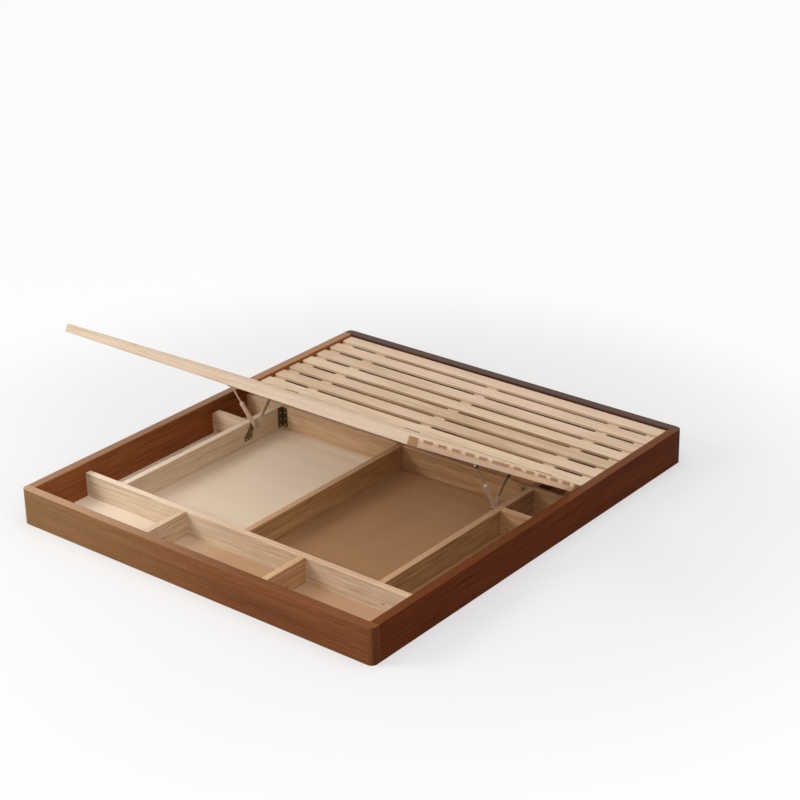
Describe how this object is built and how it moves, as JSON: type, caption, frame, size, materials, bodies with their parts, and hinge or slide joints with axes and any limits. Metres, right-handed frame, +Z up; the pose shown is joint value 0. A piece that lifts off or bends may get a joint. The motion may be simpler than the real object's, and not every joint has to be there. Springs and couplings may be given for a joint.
{
  "type": "tatami platform bed",
  "caption": "Low platform bed frame with storage bays under a slatted deck, whose foot part is a hinged lid lifted by gas springs.",
  "frame": {"origin": "middle of the bed's footprint, on the floor", "axes": "+X to the right seen from the foot end, +Y from the foot rail to the head rail, +Z up"},
  "size_m": [1.88, 2.12, 0.8101],
  "materials": {
    "stained_oak": "walnut-stained oak, satin lacquer",
    "pale_board": "pale sanded pine board",
    "slat_wood": "pale sanded slats",
    "floor_panel": "cream faced thin board",
    "zinc_steel": "zinc-plated pressed steel",
    "silver_tube": "satin silver paint",
    "chrome_rod": "polished hard chrome",
    "dark_steel": "dark satin steel",
    "black_plastic": "matt black moulding"
  },
  "bodies": {
    "root": {"foot_rail": "stained_oak", "head_rail": "stained_oak", "left_rail": "stained_oak", "right_rail": "stained_oak", "corner_dowels": "pale_board", "cam_bolts": "zinc_steel", "cam_nuts": "zinc_steel", "foot_cross_board": "pale_board", "mid_cross_board": "pale_board", "left_long_board": "pale_board", "middle_long_board": "pale_board", "right_long_board": "pale_board", "left_foot_divider": "pale_board", "right_foot_divider": "pale_board", "left_side_divider": "pale_board", "right_side_divider": "pale_board", "head_cleats": "pale_board", "side_cleats": "pale_board", "foot_outer_floors": "floor_panel", "foot_middle_floor": "floor_panel", "left_floor": "floor_panel", "right_floor": "floor_panel", "side_rear_floors": "floor_panel", "centre_floors": "floor_panel", "head_floors": "floor_panel", "finger_liner": "black_plastic", "deck_hinge_board": "slat_wood", "deck_slats": "slat_wood", "deck_side_bearers": "slat_wood", "deck_battens": "slat_wood", "hinge_deck_leaves": "zinc_steel", "hinge_pins": "zinc_steel", "left_base_bracket": "zinc_steel", "right_base_bracket": "zinc_steel", "left_pivot_stud": "zinc_steel", "right_pivot_stud": "zinc_steel", "joint_angles": "zinc_steel", "carcass_screws": "zinc_steel"},
    "lid": {"lid_hinge_board": "slat_wood", "lid_front_board": "slat_wood", "lid_rear_slats": "slat_wood", "lid_front_slats": "slat_wood", "lid_left_bearer": "slat_wood", "lid_right_bearer": "slat_wood", "lid_battens": "slat_wood", "hinge_lid_leaves": "zinc_steel", "lid_spring_brackets": "zinc_steel", "lid_stay_brackets": "zinc_steel", "lid_screws": "zinc_steel"},
    "left_cylinder": {"left_spring_cylinder": "silver_tube"},
    "right_cylinder": {"right_spring_cylinder": "silver_tube"},
    "left_rod": {"left_spring_rod": "chrome_rod", "left_spring_end": "zinc_steel"},
    "right_rod": {"right_spring_rod": "chrome_rod", "right_spring_end": "zinc_steel"},
    "left_stay_bar": {"left_stay": "dark_steel"},
    "right_stay_bar": {"right_stay": "dark_steel"}
  },
  "joints": [
    {"name": "lid_hinge", "type": "hinge", "parent": "root", "child": "lid", "pos_m": [0, 0.358, 0.148], "axis": [-1, 0, 0], "range_deg": [-30.5, 0]},
    {"name": "left_cylinder_pivot", "type": "hinge", "parent": "root", "child": "left_cylinder", "pos_m": [-0.667, 0.069, 0.0967], "axis": [-1, 0, 0], "range_deg": [-59.7, 0]},
    {"name": "right_cylinder_pivot", "type": "hinge", "parent": "root", "child": "right_cylinder", "pos_m": [0.667, 0.069, 0.0967], "axis": [-1, 0, 0], "range_deg": [-59.7, 0]},
    {"name": "left_rod_slide", "type": "slide", "parent": "left_cylinder", "child": "left_rod", "axis": [0, -0.4844, 0.8748], "range_m": [-0.1053, 0]},
    {"name": "right_rod_slide", "type": "slide", "parent": "right_cylinder", "child": "right_rod", "axis": [0, -0.4844, 0.8748], "range_m": [-0.1053, 0]},
    {"name": "left_stay_pivot", "type": "hinge", "parent": "lid", "child": "left_stay_bar", "pos_m": [-0.6535, 0.16958, 0.20444], "axis": [-1, 0, 0], "range_deg": [0, 75]},
    {"name": "right_stay_pivot", "type": "hinge", "parent": "lid", "child": "right_stay_bar", "pos_m": [0.6535, 0.16958, 0.20444], "axis": [-1, 0, 0], "range_deg": [0, 75]}
  ],
  "couplings": [
    {"joint": "left_cylinder_pivot", "follows": "lid_hinge", "ratio": 1.9554},
    {"joint": "right_cylinder_pivot", "follows": "lid_hinge", "ratio": 1.9554},
    {"joint": "left_rod_slide", "follows": "lid_hinge", "m_per_rad": 0.19768},
    {"joint": "right_rod_slide", "follows": "lid_hinge", "m_per_rad": 0.19768},
    {"joint": "left_stay_pivot", "follows": "lid_hinge", "ratio": -2.4577},
    {"joint": "right_stay_pivot", "follows": "lid_hinge", "ratio": -2.4577}
  ]
}
